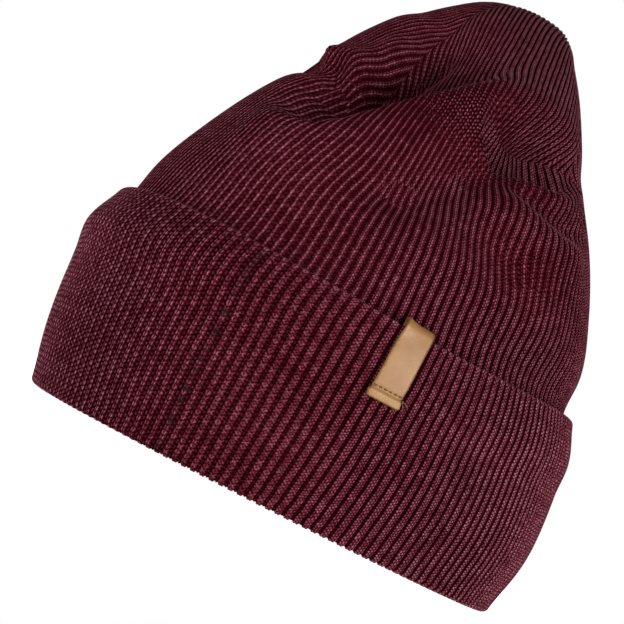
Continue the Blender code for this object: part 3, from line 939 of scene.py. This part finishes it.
def vegetable_tanned_leather():
    """Thin vegetable-tanned cowhide, die cut: smooth tan face with fine grain, darker cut edges."""
    material, add, shader = new_material("vegetable tanned leather, die cut")
    place = add("ShaderNodeTexCoord", out="Object")
    # grain of about half a millimetre, coarser than the real hide's so that it shows
    pores = add("ShaderNodeTexVoronoi", {"Vector": place, "Scale": 2100.0})
    cloud = add("ShaderNodeTexNoise", {"Vector": place, "Scale": 160.0, "Detail": 5.0})
    face = add("ShaderNodeValToRGB", (cloud,), stops=((0.3, "#875f35"), (0.7, "#956d3f")))
    cut = add("ShaderNodeAttribute", out="Fac", attribute_name="cut_edge")
    rough = add("ShaderNodeTexNoise", {"Vector": place, "Scale": 900.0, "Detail": 3.0})
    cut = add("ShaderNodeMath", (rough, 0.8, cut), operation="MULTIPLY_ADD")
    cut = add("ShaderNodeValToRGB", (cut,), stops=((0.75, 0.0), (1.0, 1.0)))
    face = add("ShaderNodeMix", {0: cut, 6: face, 7: colour("#6b4818")}, 2, data_type="RGBA")
    height = add("ShaderNodeMath", (rough, 0.6, pores), operation="MULTIPLY_ADD")
    bump = add("ShaderNodeBump", {"Strength": 0.3, "Distance": 0.0002, "Height": height})
    set_inputs(shader, {"Base Color": face, "Normal": bump, "Roughness": 0.48})
    return material


def waxed_thread():
    """Waxed linen thread, twisted: brown, with a faint gloss."""
    material, add, shader = new_material("waxed linen thread, twisted")
    place = add("ShaderNodeTexCoord", out="Object")
    twist = add("ShaderNodeTexNoise", {"Vector": place, "Scale": 2500.0})
    shade = add("ShaderNodeValToRGB", (twist,), stops=((0.35, "#3c2710"), (0.65, "#6a4a20")))
    set_inputs(shader, {"Base Color": shade, "Roughness": 0.6})
    return material


def pale_floor():
    """White studio paper, matt. It glows, so that it is as white as the wall."""
    material, _, shader = new_material("white studio paper")
    glow = {"Emission Color": colour("#ffffff"), "Emission Strength": FLOOR_GLOW}
    matt = {"Roughness": 0.9, "Specular IOR Level": 0.1}
    set_inputs(shader, {"Base Color": colour("#fdfdfd"), **matt, **glow})
    return material


# Studio. The camera looks up at the hat from just above the floor.
VIEW_AZIMUTH = 76.0  # degrees from the hat's front towards the wearer's left
VIEW_ROLL = 27.0
VIEW_PITCH = 6.8
VIEW_DISTANCE = 0.50
PHOTO_SIZE = 624
SCALE = 2520.0  # picture points a metre at the aim
AIM_BACK = -0.0117  # how far right of the origin, seen from the camera
AIM_UP = 0.0740
SENSOR = 36.0
FAR_CLIP = 50.0

# The light of the walls, by how far up a direction looks: pale at the floor and dim above.
WALLS = ((0.0, 0.75), (0.15, 0.3), (0.40, 0.04))
FLOOR_GLOW = 0.95
FLOOR_REACH = 12.0
LIT_HEIGHT = 0.05  # height on the hat that the soft boxes face
# Soft boxes: name, azimuth as the camera's, elevation, distance, side and power.
LIGHTS = (
    ("low_softbox", 115.0, 6.0, 0.75, 0.35, 4.6),
    ("side_softbox", 20.0, 12.0, 1.2, 0.6, 6.0),
    ("back_softbox", 250.0, 30.0, 1.2, 0.8, 8.0),
)


def add_floor():
    corners = np.array([(-1, -1, 0), (1, -1, 0), (1, 1, 0), (-1, 1, 0)]) * FLOOR_REACH
    floor = add_mesh("studio_floor", corners, [(0, 1, 2, 3)], {})
    floor.data.materials.append(pale_floor())


def add_area_light(name, position, aim, size, power):
    data = bpy.data.lights.new(name, "AREA")
    data.shape = "SQUARE"
    data.size = size
    data.energy = power
    lamp = new_object(name, data)
    lamp.location = position
    lamp.rotation_euler = (Vector(aim) - Vector(position)).to_track_quat("-Z", "Y").to_euler()


def add_camera():
    azimuth, roll, pitch = (math.radians(value) for value in (VIEW_AZIMUTH, VIEW_ROLL, -VIEW_PITCH))
    flat = math.cos(pitch)
    towards = Vector((math.sin(azimuth) * flat, -math.cos(azimuth) * flat, math.sin(pitch)))
    level = Vector((math.cos(azimuth), math.sin(azimuth), 0.0))
    above = towards.cross(level)
    right = math.cos(roll) * level + math.sin(roll) * above
    up = math.cos(roll) * above - math.sin(roll) * level
    aim = level * AIM_BACK + Vector((0.0, 0.0, AIM_UP))
    data = bpy.data.cameras.new("camera")
    data.sensor_width = SENSOR
    data.lens = SCALE * VIEW_DISTANCE / PHOTO_SIZE * SENSOR
    data.clip_end = FAR_CLIP
    camera = new_object("camera", data)
    turned = Matrix((right, up, towards)).transposed().to_4x4()
    turned.translation = aim + towards * VIEW_DISTANCE
    camera.matrix_world = turned
    bpy.context.scene.camera = camera


def add_studio():
    add_camera()
    add_floor()
    world = bpy.data.worlds.new("studio")
    bpy.context.scene.world = world
    world.use_nodes = True
    add = partial(add_node, world.node_tree)
    sky = add("ShaderNodeTexCoord", out="Generated")
    height = add("ShaderNodeSeparateXYZ", (sky,), "Z")
    shade = add("ShaderNodeValToRGB", (height,), stops=WALLS)
    # the walls are seen white, and light the hat only as much as the ramp says
    seen = add("ShaderNodeLightPath", out="Is Camera Ray")
    wall = add("ShaderNodeMix", {0: seen, 6: shade, 7: colour("#ffffff")}, 2, data_type="RGBA")
    set_inputs(world.node_tree.nodes["Background"], {"Color": wall, "Strength": 1.0})
    aim = (0.0, 0.0, LIT_HEIGHT)
    for name, azimuth, elevation, distance, size, power in LIGHTS:
        turned, raised = math.radians(azimuth), math.radians(elevation)
        level, height = distance * math.cos(raised), aim[2] + distance * math.sin(raised)
        place = (level * math.sin(turned), -level * math.cos(turned), height)
        add_area_light(name, place, aim, size, power)
    bpy.context.scene.view_settings.view_transform = "Standard"


def finish_piece(piece, material, node):
    piece.data.materials.append(material)
    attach(piece, "root")
    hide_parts(node)


def main():
    wall, normal = dense_wall()
    crown = add_sheet("ribbed_crown", *crown_shape(wall, normal))
    outer = wool_rib_knit("wool yarn, rib knitted, crown", **OUTER_FACE)
    finish_piece(crown, outer, "crown")
    cuff = add_sheet("turned_up_cuff", *cuff_shape())
    turned = wool_rib_knit("wool yarn, rib knitted, cuff", **TURNED_FACE)
    finish_piece(cuff, turned, "cuff")
    finish_piece(add_strip(), vegetable_tanned_leather(), "leather_tab")
    finish_piece(add_stitching(), waxed_thread(), "leather_tab")
    add_studio()


main()
